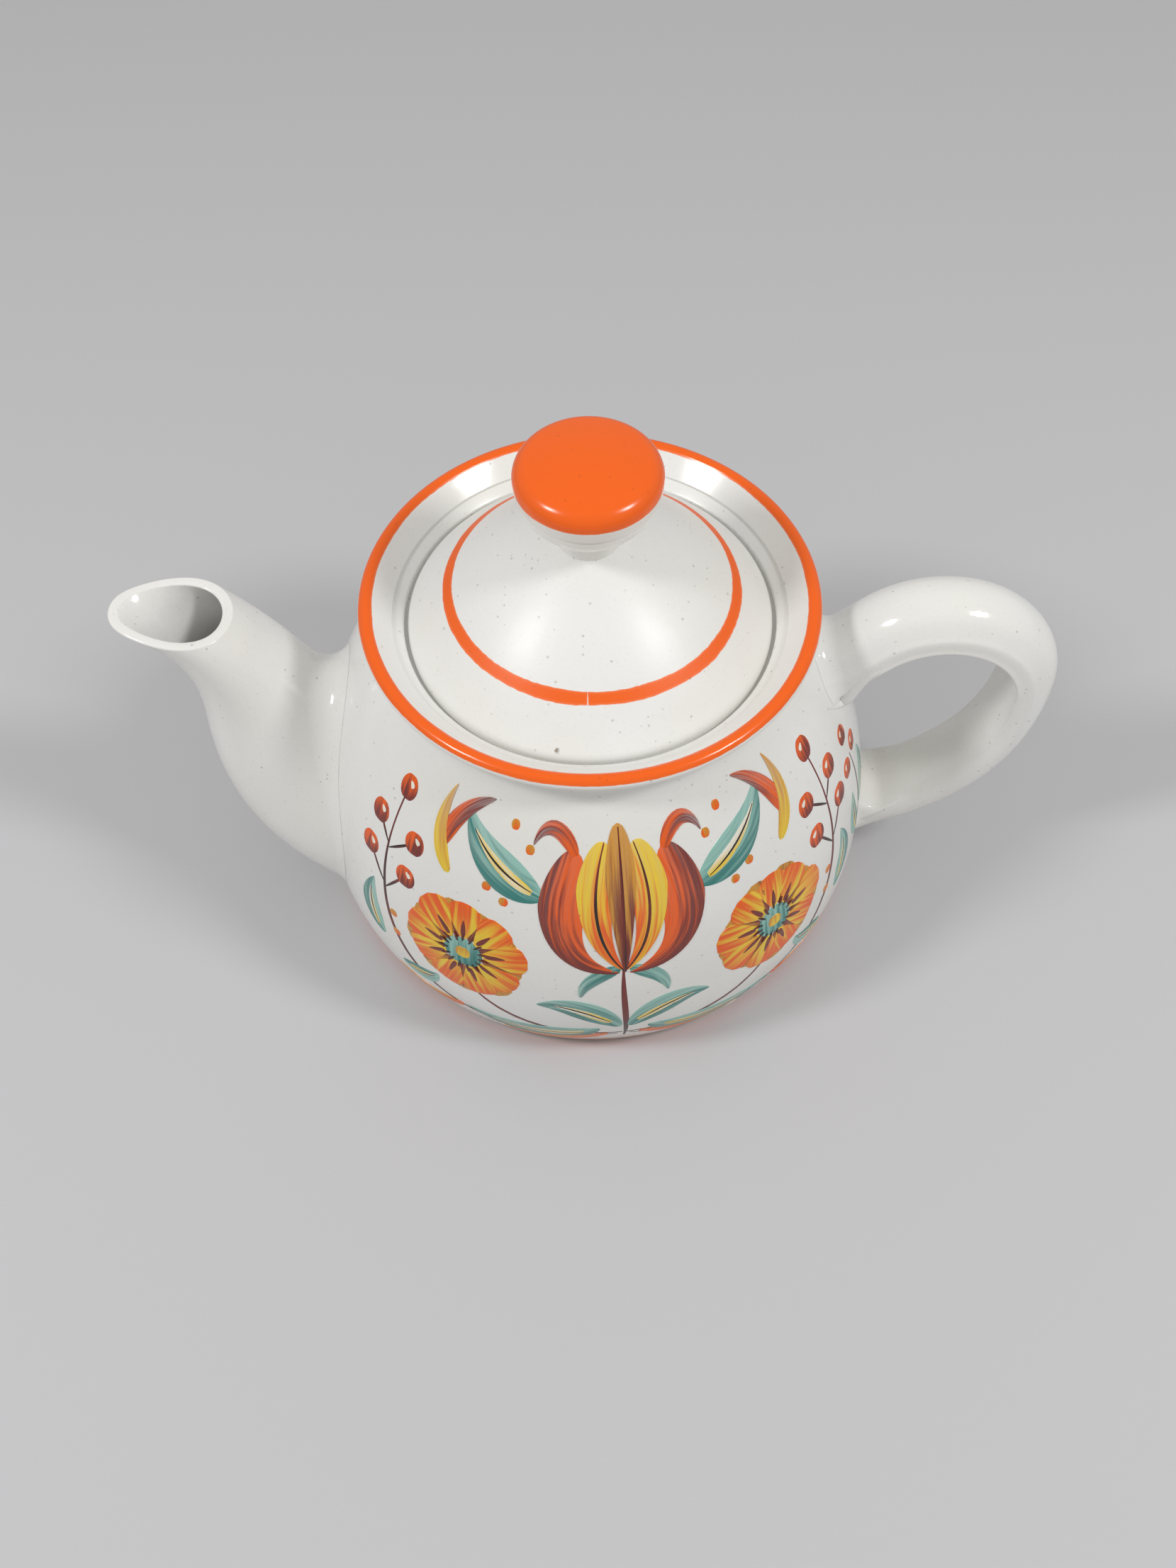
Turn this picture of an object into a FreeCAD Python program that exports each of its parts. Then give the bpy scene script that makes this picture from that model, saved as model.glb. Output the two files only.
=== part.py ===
import FreeCAD, Part
import math
import os
from FreeCAD import Vector

os.makedirs("parts", exist_ok=True)

# All sizes are in millimetres, angles in degrees.
# The pot stands on z = 0 with its axis on Z, the spout towards -X and the handle towards +X.

# Pot body
rim_height = 101.0
rim_radius = 55.0
lip_radius = 1.9
neck_radius = 51.2
neck_cove_radius = 6.0
belly_radius = 71.0
belly_height = 27.0
foot_inset = 6.5
foot_ring_width = 6.0
foot_recess = 2.5
foot_edge_radius = 1.0
wall = 4.5
base_thickness = 5.0
floor_corner_radius = 7.0

# Layer of slip that sticks the spout and the handle to the body
luting_gap = 0.02

# Gallery that the lid sits in
gallery_slope = 42.0
gallery_step_width = 2.7
gallery_step = 0.6
gallery_low_slope = 34.0
gallery_step_edge = 0.25
seat_drop = 9.0
ledge_width = 6.0
throat_depth = 5.0
throat_edge_radius = 1.2
gallery_edge_radius = 1.0
ledge_underside_slope = 20.0

# Lid
lid_radius = 43.6
lid_clearance = 0.9
lid_edge_height = 2.4
lid_edge_radius = 4.0
lid_rise = 29.0
lid_dome_radius = 85.0
lid_wall = 4.0
flange_clearance = 1.0
flange_depth = 10.0
flange_wall = 3.5
flange_edge_radius = 1.0

# Knob
knob_height = 25.0
knob_radius = 16.9
knob_crown_radius = 60.0
knob_shoulder_radius = 4.0
knob_waist_radius = 9.9
knob_waist_at = 6.2
knob_step = 0.9
knob_foot_radius = 7.4
knob_groove_drop = 4.6
knob_groove_width = 1.6
knob_groove_depth = 0.3
knob_waist_edge = 0.6

# Spout: heights are above the table, drops below the rim, reaches beyond the belly
spout_root_inset = 19.0
spout_root_height = 33.0
spout_swell_reach = 23.5
spout_swell_height = 46.0
spout_bend_inset = 2.5
spout_bend_drop = 23.0
spout_tip_reach = 38.8
spout_tip_rise = 3.0
spout_root_radius = 34.0
spout_middle_radius = 16.8
spout_tip_half_height = 8.0
spout_tip_half_width = 10.6
spout_lip_pinch = 0.3
spout_wall = 2.6
spout_tip_wall = 1.5
spout_mouth_drop = 3.0
spout_mouth_tilt = 5.0
spout_trim_length = 9.0
spout_lip_radius = 0.5
spout_fillet = 6.0
spout_stations = 7
spout_section_points = 16

# Strainer pierced through the body wall behind the spout
strainer_hole_radius = 2.5
strainer_ring_pitch = 9.0
strainer_rings = 1
strainer_rise = 12.0

# Handle: two straight limbs joined by two bends that meet upright at the back.
# Its crest is set from the rim, and the lower limb's underside from the table, at the belly's radius.
handle_back_reach = 38.6
handle_crest_drop = 0.8
handle_foot_clear = 7.2
handle_top_bend = 24.2
handle_top_slope = 42.5
handle_foot_slope = 34.5
handle_thickness = 11.0
handle_width = 20.7
handle_corner_radius = 1.0
handle_back_share = 0.57
handle_fillet = 4.5
handle_oval_points = 8

up = Vector(0, 0, 1)
origin = Vector(0, 0, 0)
sideways = Vector(0, 1, 0)


def on_plane(radius, height):
    return Vector(radius, 0, height)


def line(start, end):
    return Part.LineSegment(start, end).toShape()


def arc_about(centre, start, end):
    """The shorter arc from start to end about a centre in the XZ plane."""
    reach = start.sub(centre).Length
    middle = start.add(end).multiply(0.5).sub(centre).normalize().multiply(reach).add(centre)
    return Part.Arc(start, middle, end).toShape()


def revolved(edges):
    """A turned solid, with its seam at the back, clear of the spout and the handle."""
    face = Part.Face(Part.Wire(Part.__sortEdges__(edges)))
    return face.rotated(origin, up, 90).revolve(origin, up, 360)


def closed_curve(points):
    curve = Part.BSplineCurve()
    curve.interpolate(points, PeriodicFlag=True)
    return Part.Wire(curve.toShape())


def circles_at(solid, radius, height):
    """The full circular edges of a turned solid at one radius and height."""
    found = []
    for edge in solid.Edges:
        if edge.Degenerated or not isinstance(edge.Curve, Part.Circle):
            continue
        curve = edge.Curve
        if abs(curve.Radius - radius) < 1e-4 and abs(curve.Center.z - height) < 1e-4:
            found.append(edge)
    return found


# Outline of the body, worked out once and shared by the pieces that touch it
lip_centre = on_plane(rim_radius - lip_radius, rim_height - lip_radius)
cove_x = neck_radius + neck_cove_radius
cove_z = lip_centre.z - math.sqrt((neck_cove_radius + lip_radius) ** 2 - (lip_centre.x - cove_x) ** 2)
cove_centre = on_plane(cove_x, cove_z)
belly_inset = belly_radius - cove_x
belly_to_cove = cove_z - belly_height
shoulder_radius = (belly_inset ** 2 + belly_to_cove ** 2 - neck_cove_radius ** 2) / (
    2 * (belly_inset + neck_cove_radius)
)
shoulder_centre = on_plane(belly_radius - shoulder_radius, belly_height)
foot_radius = belly_radius - foot_inset
flank_radius = (foot_inset ** 2 + belly_height ** 2) / (2 * foot_inset)
flank_centre = on_plane(belly_radius - flank_radius, belly_height)

seat_height = rim_height - seat_drop
seat_bore_radius = lid_radius + lid_clearance
throat_radius = seat_bore_radius - ledge_width
step_radius = seat_bore_radius + gallery_step_width
floor_height = foot_recess + base_thickness


def outer_outline(outset=0.0):
    """Edges up the outside of the body, or a face set out from it, from the foot's edge to the gallery."""
    foot_reach = math.sqrt((flank_radius + outset) ** 2 - (belly_height + outset) ** 2)
    foot = on_plane(flank_centre.x + foot_reach, -outset)
    belly = on_plane(belly_radius + outset, belly_height)
    to_neck = cove_centre.sub(shoulder_centre).normalize()
    neck_start = Vector(to_neck).multiply(shoulder_radius + outset).add(shoulder_centre)
    lip_outset = lip_radius + outset
    lip_start = cove_centre.sub(lip_centre).normalize().multiply(lip_outset).add(lip_centre)
    slope = math.radians(gallery_slope)
    lip_end = lip_centre.add(Vector(-math.sin(slope), 0, math.cos(slope)).multiply(lip_outset))
    lip_outside = lip_centre.add(Vector(lip_outset, 0, 0))
    neck_waist = cove_centre.sub(Vector(neck_cove_radius - outset, 0, 0))
    edges = [
        arc_about(flank_centre, foot, belly),
        arc_about(shoulder_centre, belly, neck_start),
        Part.Arc(neck_start, neck_waist, lip_start).toShape(),
        Part.Arc(lip_start, lip_outside, lip_end).toShape(),
    ]
    return edges, foot, lip_end


def body_envelope(outset=0.0):
    """The body's outside, or a face set out from it, as one full solid closed across its ends."""
    edges, foot, lip_end = outer_outline(outset)
    mouth_centre = on_plane(0, lip_end.z)
    base_centre = on_plane(0, foot.z)
    edges += [line(lip_end, mouth_centre), line(mouth_centre, base_centre), line(base_centre, foot)]
    return revolved(edges)


def pot_body():
    edges, foot, lip_end = outer_outline()
    funnel_drop = (lip_end.x - step_radius) * math.tan(math.radians(gallery_slope))
    step_top = on_plane(step_radius, lip_end.z - funnel_drop)
    step_foot = on_plane(step_radius, step_top.z - gallery_step)
    low_drop = (step_radius - seat_bore_radius) * math.tan(math.radians(gallery_low_slope))
    funnel_end = on_plane(seat_bore_radius, step_foot.z - low_drop)
    ledge_outside = on_plane(seat_bore_radius, seat_height)
    ledge_inside = on_plane(throat_radius, seat_height)
    throat_end = on_plane(throat_radius, seat_height - throat_depth)

    # The ledge's underside slopes down to meet the shoulder's inner face
    slope = math.radians(ledge_underside_slope)
    downhill = Vector(math.cos(slope), 0, -math.sin(slope))
    from_centre = throat_end.sub(shoulder_centre)
    along = from_centre.dot(downhill)
    inner_shoulder = shoulder_radius - wall
    run = math.sqrt(along ** 2 - from_centre.dot(from_centre) + inner_shoulder ** 2) - along
    underside_end = throat_end.add(downhill.multiply(run))

    inner_belly = on_plane(belly_radius - wall, belly_height)
    inner_flank = flank_radius - wall
    corner_reach = inner_flank - floor_corner_radius
    corner_z = floor_height + floor_corner_radius
    corner_x = flank_centre.x + math.sqrt(corner_reach ** 2 - (corner_z - flank_centre.z) ** 2)
    floor_corner = on_plane(corner_x, corner_z)
    flank_end = floor_corner.sub(flank_centre).normalize().multiply(inner_flank).add(flank_centre)
    floor_edge = on_plane(corner_x, floor_height)
    ring_inside = foot_radius - foot_ring_width
    edges += [
        line(lip_end, step_top),
        line(step_top, step_foot),
        line(step_foot, funnel_end),
        line(funnel_end, ledge_outside),
        line(ledge_outside, ledge_inside),
        line(ledge_inside, throat_end),
        line(throat_end, underside_end),
        arc_about(shoulder_centre, underside_end, inner_belly),
        arc_about(flank_centre, inner_belly, flank_end),
        arc_about(floor_corner, flank_end, floor_edge),
        line(floor_edge, on_plane(0, floor_height)),
        line(on_plane(0, floor_height), on_plane(0, foot_recess)),
        line(on_plane(0, foot_recess), on_plane(ring_inside, foot_recess)),
        line(on_plane(ring_inside, foot_recess), on_plane(ring_inside, 0)),
        line(on_plane(ring_inside, 0), foot),
    ]
    shell = revolved(edges)
    soft_edges = circles_at(shell, ring_inside, 0) + circles_at(shell, foot_radius, 0)
    shell = shell.makeFillet(foot_edge_radius, soft_edges)
    throat_edges = circles_at(shell, throat_radius, seat_height)
    throat_edges += circles_at(shell, throat_radius, throat_end.z)
    shell = shell.makeFillet(throat_edge_radius, throat_edges)
    shell = shell.makeFillet(gallery_edge_radius, circles_at(shell, seat_bore_radius, funnel_end.z))
    shell = shell.makeFillet(gallery_step_edge, circles_at(shell, step_radius, step_top.z))
    return shell.cut(strainer_holes())


def strainer_holes():
    """Rings of round holes about one middle hole, pierced level with the spout's axis."""
    reach = belly_radius + wall
    holes = []
    for ring in range(strainer_rings + 1):
        count = max(1, 6 * ring)
        for step in range(count):
            turn = 2 * math.pi * step / count
            place = Vector(0, math.cos(turn), math.sin(turn)).multiply(ring * strainer_ring_pitch)
            place = place.add(Vector(-reach, 0, spout_root_height + strainer_rise))
            holes.append(Part.makeCylinder(strainer_hole_radius, reach, place, Vector(1, 0, 0)))
    return Part.makeCompound(holes)


def spout_point(share):
    """A point of the spout's centre line and the line's direction there."""
    rest = 1 - share
    pulls = [
        Vector(spout_root_inset - belly_radius, 0, spout_root_height),
        Vector(-belly_radius - spout_swell_reach, 0, spout_swell_height),
        Vector(spout_bend_inset - belly_radius, 0, rim_height - spout_bend_drop),
        Vector(-belly_radius - spout_tip_reach, 0, rim_height + spout_tip_rise),
    ]
    weights = [rest ** 3, 3 * rest ** 2 * share, 3 * rest * share ** 2, share ** 3]
    slopes = [3 * rest ** 2, 6 * rest * share, 3 * share ** 2]
    point = Vector(0, 0, 0)
    for pull, weight in zip(pulls, weights):
        point = point.add(Vector(pull).multiply(weight))
    direction = Vector(0, 0, 0)
    for first, second, weight in zip(pulls, pulls[1:], slopes):
        direction = direction.add(second.sub(first).multiply(weight))
    return point, direction.normalize()


def spout_section(point, direction, share, hollow):
    """A ring of the spout's outside, or of its hollow, whose wall thins towards the mouth."""
    inset = spout_wall + (spout_tip_wall - spout_wall) * share if hollow else 0.0

    def size(tip_size):
        bulge = 2 * (spout_middle_radius - spout_root_radius / 4 - tip_size / 4)
        rest = 1 - share
        return rest ** 2 * spout_root_radius + 2 * rest * share * bulge + share ** 2 * tip_size - inset

    half_height = size(spout_tip_half_height)
    half_width = size(spout_tip_half_width)
    across = direction.cross(sideways).normalize()
    ring = []
    for step in range(spout_section_points):
        turn = 2 * math.pi * step / spout_section_points
        pinch = 1 - spout_lip_pinch * share ** 2 * math.cos(turn)
        offset = Vector(across).multiply(half_height * math.cos(turn))
        offset = offset.add(Vector(sideways).multiply(half_width * math.sin(turn) * pinch))
        ring.append(point.add(offset))
    return closed_curve(ring)


def spout_tube(hollow):
    sections = []
    for station in range(spout_stations + 1):
        share = station / spout_stations
        point, direction = spout_point(share)
        sections.append(spout_section(point, direction, share, hollow))
    beyond = point.add(Vector(direction).multiply(spout_trim_length))
    sections.append(spout_section(beyond, direction, 1.0, hollow))
    return Part.makeLoft(sections, True, False)


def root_edges(fused, first, second):
    """Edges of a fused solid that lie on both of the solids it was made from."""
    found = []
    for edge in fused.Edges:
        low, high = edge.ParameterRange
        probe = Part.Vertex(edge.valueAt((low + high) / 2))
        near = probe.distToShape(first.Shells[0])[0] + probe.distToShape(second.Shells[0])[0]
        if near < 1e-3:
            found.append(edge)
    return found


def luted(piece, envelope, fillet):
    """A piece stuck on the body: blended into its outside, then parted from it by the layer of slip."""
    fused = envelope.fuse(piece)
    fused = fused.makeFillet(fillet, root_edges(fused, piece, envelope))
    return fused.cut(body_envelope(luting_gap))


def spout(envelope):
    """The tube, cut by a plane that dips towards the pot, then blended, hollowed and rounded at the lip."""
    tip, _ = spout_point(1)
    pivot = on_plane(tip.x, rim_height - spout_mouth_drop)
    span = 4 * (spout_trim_length + spout_root_radius)
    trim = Part.makeBox(span, span, span, pivot.sub(Vector(span / 2, span / 2, 0)))
    trim.rotate(pivot, sideways, spout_mouth_tilt)
    outside = luted(spout_tube(False).cut(trim), envelope, spout_fillet)
    hollow = outside.cut(spout_tube(True))
    tilt = math.radians(spout_mouth_tilt)
    facing = Vector(math.sin(tilt), 0, math.cos(tilt))
    mouth = []
    for edge in hollow.Edges:
        low, high = edge.ParameterRange
        probes = [edge.valueAt(at) for at in (low, (low + high) / 2, high)]
        if all(abs(probe.sub(pivot).dot(facing)) < 1e-3 for probe in probes):
            mouth.append(edge)
    return hollow.makeFillet(spout_lip_radius, mouth)


def handle_section(point, direction):
    """A D-shaped ring: flat on the finger side with small rounded corners, and half an oval on its back."""
    outward = direction.cross(sideways).normalize()
    half = handle_width / 2
    back = handle_thickness * handle_back_share
    flat = back - handle_thickness
    brow = flat + handle_corner_radius

    def at(side, depth):
        return point.add(Vector(sideways).multiply(side)).add(Vector(outward).multiply(depth))

    oval = []
    for step in range(handle_oval_points + 1):
        turn = math.pi * step / handle_oval_points
        oval.append(at(half * math.cos(turn), brow + (back - brow) * math.sin(turn)))
    curve = Part.BSplineCurve()
    curve.interpolate(Points=oval, InitialTangent=outward, FinalTangent=Vector(outward).multiply(-1))
    inset = half - handle_corner_radius
    bevel = handle_corner_radius * (1 - math.sqrt(0.5))
    return Part.Wire([
        curve.toShape(),
        Part.Arc(oval[-1], at(bevel - half, flat + bevel), at(-inset, flat)).toShape(),
        line(at(-inset, flat), at(inset, flat)),
        Part.Arc(at(inset, flat), at(half - bevel, flat + bevel), oval[0]).toShape(),
    ])


def handle_route():
    """The handle's centre line, from inside the wall under the rim round to inside the low flank."""
    outer_half = handle_thickness * handle_back_share
    back_height = rim_height - handle_crest_drop - outer_half - handle_top_bend
    back = on_plane(belly_radius + handle_back_reach, back_height)
    top_turn = math.radians(handle_top_slope)
    foot_turn = math.radians(handle_foot_slope)
    top_limb = Vector(math.cos(top_turn), 0, math.sin(top_turn))
    foot_limb = Vector(-math.cos(foot_turn), 0, -math.sin(foot_turn))
    top_centre = back.sub(Vector(handle_top_bend, 0, 0))
    top_end = top_centre.add(Vector(-top_limb.z, 0, top_limb.x).multiply(handle_top_bend))

    # The low bend touches the upright at the back and the lower limb
    underside = Vector(-foot_limb.z, 0, foot_limb.x)
    limb_point = on_plane(belly_radius, handle_foot_clear - outer_half / foot_limb.x)
    low_bend = limb_point.sub(back).dot(underside) / (1 - underside.x)
    low_centre = back.sub(Vector(low_bend, 0, 0))
    low_end = low_centre.add(Vector(underside).multiply(low_bend))
    top_reach = (top_end.x - neck_radius + wall) / top_limb.x
    foot_reach = (low_end.x - foot_radius + wall) / -foot_limb.x
    top_root = top_end.sub(Vector(top_limb).multiply(top_reach))
    foot_root = low_end.add(Vector(foot_limb).multiply(foot_reach))
    route = Part.Wire([
        line(top_root, top_end),
        arc_about(top_centre, top_end, back),
        arc_about(low_centre, back, low_end),
        line(low_end, foot_root),
    ])
    return route, top_root, top_limb


def handle(envelope):
    route, start, direction = handle_route()
    sweep = Part.BRepOffsetAPI.MakePipeShell(route)
    sweep.setBiNormalMode(sideways)
    sweep.add(handle_section(start, direction))
    sweep.build()
    sweep.makeSolid()
    return luted(sweep.shape(), envelope, handle_fillet)


def dome_arc():
    """Centre of the lid's dome and the two ends of its arc."""
    low = on_plane(lid_radius, seat_height + lid_edge_height)
    high = on_plane(knob_foot_radius, seat_height + lid_rise)
    half_chord = high.sub(low).Length / 2
    inward = high.sub(low).cross(sideways).normalize()
    if inward.z > 0:
        inward = inward.multiply(-1)
    depth = math.sqrt(lid_dome_radius ** 2 - half_chord ** 2)
    centre = low.add(high).multiply(0.5).add(Vector(inward).multiply(depth))
    return centre, low, high


def lid():
    centre, low, high = dome_arc()
    flange_outside = throat_radius - flange_clearance
    flange_inside = flange_outside - flange_wall
    inner_reach = lid_dome_radius - lid_wall

    def inner_at(radius):
        return on_plane(radius, centre.z + math.sqrt(inner_reach ** 2 - (radius - centre.x) ** 2))

    inner_low = inner_at(flange_inside)
    inner_high = inner_at(knob_foot_radius)
    flange_end = seat_height - flange_depth
    edges = [
        arc_about(centre, low, high),
        line(high, on_plane(0, high.z)),
        line(on_plane(0, high.z), on_plane(0, inner_high.z)),
        line(on_plane(0, inner_high.z), inner_high),
        arc_about(centre, inner_high, inner_low),
        line(inner_low, on_plane(flange_inside, flange_end)),
        line(on_plane(flange_inside, flange_end), on_plane(flange_outside, flange_end)),
        line(on_plane(flange_outside, flange_end), on_plane(flange_outside, seat_height)),
        line(on_plane(flange_outside, seat_height), on_plane(lid_radius, seat_height)),
        line(on_plane(lid_radius, seat_height), low),
    ]
    turned = revolved(edges)
    flange_edges = circles_at(turned, flange_inside, flange_end)
    flange_edges += circles_at(turned, flange_outside, flange_end)
    turned = turned.makeFillet(flange_edge_radius, flange_edges)
    return turned.makeFillet(lid_edge_radius, circles_at(turned, lid_radius, low.z))


def knob():
    base = seat_height + lid_rise
    foot = on_plane(knob_foot_radius, base)
    neck = on_plane(knob_waist_radius - knob_step, base + knob_waist_at)
    waist = on_plane(knob_waist_radius, base + knob_waist_at)
    crown = on_plane(0, base + knob_height)
    crown_centre = crown.sub(Vector(0, 0, knob_crown_radius))

    # The shoulder is tangent to the crown and upright where the knob is widest
    shoulder_x = knob_radius - knob_shoulder_radius
    crown_reach = knob_crown_radius - knob_shoulder_radius
    rounding_centre = on_plane(shoulder_x, crown_centre.z + math.sqrt(crown_reach ** 2 - shoulder_x ** 2))
    to_rounding = rounding_centre.sub(crown_centre).normalize()
    rounding_end = to_rounding.multiply(knob_crown_radius).add(crown_centre)
    widest = on_plane(knob_radius, rounding_centre.z)

    # The bowl under it starts upright too and ends at the waist
    inset = knob_radius - knob_waist_radius
    bowl_radius = (inset ** 2 + (widest.z - waist.z) ** 2) / (2 * inset)
    bowl_centre = on_plane(knob_radius - bowl_radius, widest.z)

    def on_bowl(lean, depth=0.0):
        return bowl_centre.add(Vector(math.cos(lean), 0, -math.sin(lean)).multiply(bowl_radius - depth))

    # One shallow turned groove runs round the bowl
    groove_lean = math.asin(knob_groove_drop / bowl_radius)
    groove_half = math.asin(knob_groove_width / 2 / bowl_radius)
    groove_low = on_bowl(groove_lean + groove_half)
    groove_high = on_bowl(groove_lean - groove_half)
    turned = revolved([
        line(foot, neck),
        line(neck, waist),
        arc_about(bowl_centre, waist, groove_low),
        Part.Arc(groove_low, on_bowl(groove_lean, knob_groove_depth), groove_high).toShape(),
        arc_about(bowl_centre, groove_high, widest),
        arc_about(rounding_centre, widest, rounding_end),
        arc_about(crown_centre, rounding_end, crown),
        line(crown, on_plane(0, base)),
        line(on_plane(0, base), foot),
    ])
    return turned.makeFillet(knob_waist_edge, circles_at(turned, knob_waist_radius, waist.z))


envelope = body_envelope()
pieces = {
    "pot_body": pot_body(),
    "spout": spout(envelope),
    "handle": handle(envelope),
    "lid": lid(),
    "knob": knob(),
}
for name, shape in pieces.items():
    print(name, shape.isValid(), len(shape.Solids), round(shape.Volume / 1000, 1), "cm3")
    shape.exportStep("parts/" + name + ".step")
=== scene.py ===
import math
import random

import bmesh
import bpy
from mathutils import Matrix, Vector


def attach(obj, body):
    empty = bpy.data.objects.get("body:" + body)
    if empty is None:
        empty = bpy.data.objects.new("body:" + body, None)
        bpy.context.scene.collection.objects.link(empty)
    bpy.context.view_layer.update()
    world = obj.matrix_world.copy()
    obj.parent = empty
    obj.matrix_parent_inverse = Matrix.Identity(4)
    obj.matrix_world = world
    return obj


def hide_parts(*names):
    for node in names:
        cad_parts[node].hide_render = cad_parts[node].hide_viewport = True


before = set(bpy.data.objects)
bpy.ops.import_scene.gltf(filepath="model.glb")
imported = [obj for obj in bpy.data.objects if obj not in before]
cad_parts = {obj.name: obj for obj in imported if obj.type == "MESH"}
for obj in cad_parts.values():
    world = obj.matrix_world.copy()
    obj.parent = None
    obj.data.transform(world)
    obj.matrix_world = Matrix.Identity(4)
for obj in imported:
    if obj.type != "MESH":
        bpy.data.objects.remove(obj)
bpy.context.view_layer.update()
mm = 0.001
scene = bpy.context.scene
print("frame loaded:", ", ".join(sorted(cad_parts)))


# Small helpers for node trees

mixSockets = {"factor": 0, "first": 6, "second": 7, "result": 2}     # of a mix node set to colours
randomSockets = {"low": 2, "high": 3, "value": 1}                    # of a random value node set to floats


def addNode(tree, kind, **settings):
    node = tree.nodes.new(kind)
    for name, value in settings.items():
        setattr(node, name, value)
    return node


def feed(tree, socket, value):
    if isinstance(value, bpy.types.NodeSocket):
        tree.links.new(value, socket)
    elif value is not None:
        socket.default_value = value


def wire(tree, kind, inputs, **settings):
    # a new node with its named inputs fed: gives its outputs
    node = addNode(tree, kind, **settings)
    for label, value in inputs.items():
        feed(tree, node.inputs[label], value)
    return node.outputs


def maths(tree, operation, first, second=None, third=None):
    node = addNode(tree, "ShaderNodeMath", operation=operation)
    for socket, value in zip(node.inputs, (first, second, third)):
        feed(tree, socket, value)
    return node.outputs[0]


def minus(tree, first, second):
    return maths(tree, "SUBTRACT", first, second)


def least(tree, first, *others):
    for other in others:
        first = maths(tree, "MINIMUM", first, other)
    return first


def vectorNode(tree, operation, first, second, scale=None):
    node = addNode(tree, "ShaderNodeVectorMath", operation=operation)
    feed(tree, node.inputs[0], first)
    feed(tree, node.inputs[1], second)
    if scale is not None:
        feed(tree, node.inputs["Scale"], scale)
    return node.outputs


def vectorMaths(tree, operation, first, second=None, scale=None):
    return vectorNode(tree, operation, first, second, scale)["Vector"]


def measure(tree, operation, first, second=None):
    return vectorNode(tree, operation, first, second)["Value"]


def combine(tree, *parts):
    # parts left out, or None, stay zero
    node = addNode(tree, "ShaderNodeCombineXYZ")
    for socket, part in zip(node.inputs, parts):
        feed(tree, socket, part)
    return node.outputs[0]


def separate(tree, vector):
    return wire(tree, "ShaderNodeSeparateXYZ", {"Vector": vector})


def ramp(tree, value, low, high, toLow=0.0, toHigh=1.0):
    return wire(tree, "ShaderNodeMapRange", {
        "Value": value, "From Min": low, "From Max": high, "To Min": toLow, "To Max": toHigh,
    }, interpolation_type="SMOOTHSTEP")["Result"]


def mixColour(tree, factor, first, second, blend="MIX"):
    node = addNode(tree, "ShaderNodeMix", data_type="RGBA", blend_type=blend)
    for name, value in (("factor", factor), ("first", first), ("second", second)):
        feed(tree, node.inputs[mixSockets[name]], value)
    return node.outputs[mixSockets["result"]]


def tint(tree, mask, strength, first, second):
    return mixColour(tree, maths(tree, "MULTIPLY", mask, strength), first, second)


def noise(tree, place, scale, detail=2.0, roughness=0.5):
    return wire(tree, "ShaderNodeTexNoise", {
        "Vector": place, "Scale": scale, "Detail": detail, "Roughness": roughness,
    })["Fac"]


def sway(tree, place, scale, detail):
    # noise that swings about zero
    return minus(tree, noise(tree, place, scale, detail), 0.5)


def ownPlace(tree):
    return addNode(tree, "ShaderNodeTexCoord").outputs["Object"]


def addBump(tree, shader, height, strength, distance):
    bump = wire(tree, "ShaderNodeBump", {"Height": height, "Strength": strength, "Distance": distance})
    feed(tree, shader.inputs["Normal"], bump[0])


def newTree(name, kind, inputs, outputs):
    tree = bpy.data.node_groups.new(name, kind)
    keys = {}
    for label, socketType in inputs.items():
        socket = tree.interface.new_socket(label, in_out="INPUT", socket_type="NodeSocket" + socketType)
        keys[label] = socket.identifier
    for label, socketType in outputs.items():
        tree.interface.new_socket(label, in_out="OUTPUT", socket_type="NodeSocket" + socketType)
    entry = tree.nodes.new("NodeGroupInput").outputs
    leave = tree.nodes.new("NodeGroupOutput").inputs
    return tree, entry, leave, keys


def newMaterial(name):
    material = bpy.data.materials.new(name)
    material.use_nodes = True
    return material, material.node_tree, material.node_tree.nodes["Principled BSDF"]


def sRgb(red, green, blue):
    # from screen numbers to linear light
    parts = [channel / 255 for channel in (red, green, blue)]
    return tuple(((part + 0.055) / 1.055) ** 2.4 for part in parts) + (1.0,)


colours = {
    "glaze": sRgb(235, 235, 232),
    "orange": sRgb(244, 99, 0),
    "clay": sRgb(206, 190, 166),
    "grit": sRgb(160, 138, 112),
    "ironSpot": sRgb(128, 112, 92),
    "flame": sRgb(241, 97, 16),
    "yellow": sRgb(242, 206, 52),
    "ochre": sRgb(214, 150, 52),
    "maroon": sRgb(122, 44, 36),
    "tealDark": sRgb(50, 128, 122),
    "tealLight": sRgb(150, 198, 186),
    "ink": sRgb(34, 27, 26),
    "cream": sRgb(244, 238, 222),
}


# Shared finishes: a noise is given as (scale, detail), a ramp as its limits

skinLook = {
    "drift": (24, 3),
    "driftOver": (0.35, 0.7),
    "warmTint": (0.97, 0.955, 0.925, 1),
    "grain": (1500, 2),
    "grainOver": (0.55, 0.85, 0, 0.16),
    "grainTint": (0.42, 0.38, 0.33, 1),
    "fineSpecks": (620, 0.16, 0.22),           # cells in a metre, share of them with a speck, radius in cells
    "fineTint": (0.42, (0.30, 0.25, 0.19, 1)),
    "ironSpecks": (95, 0.035, 0.05),
    "ironTint": (0.8, (0.16, 0.09, 0.05, 1)),
    "leastSpeck": 0.4,
    "speckEdge": (0.0, 0.6),
    "ripple": (130, 2),
    "ironPit": -0.35,
    "unevenGloss": 0.07,
}


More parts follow.
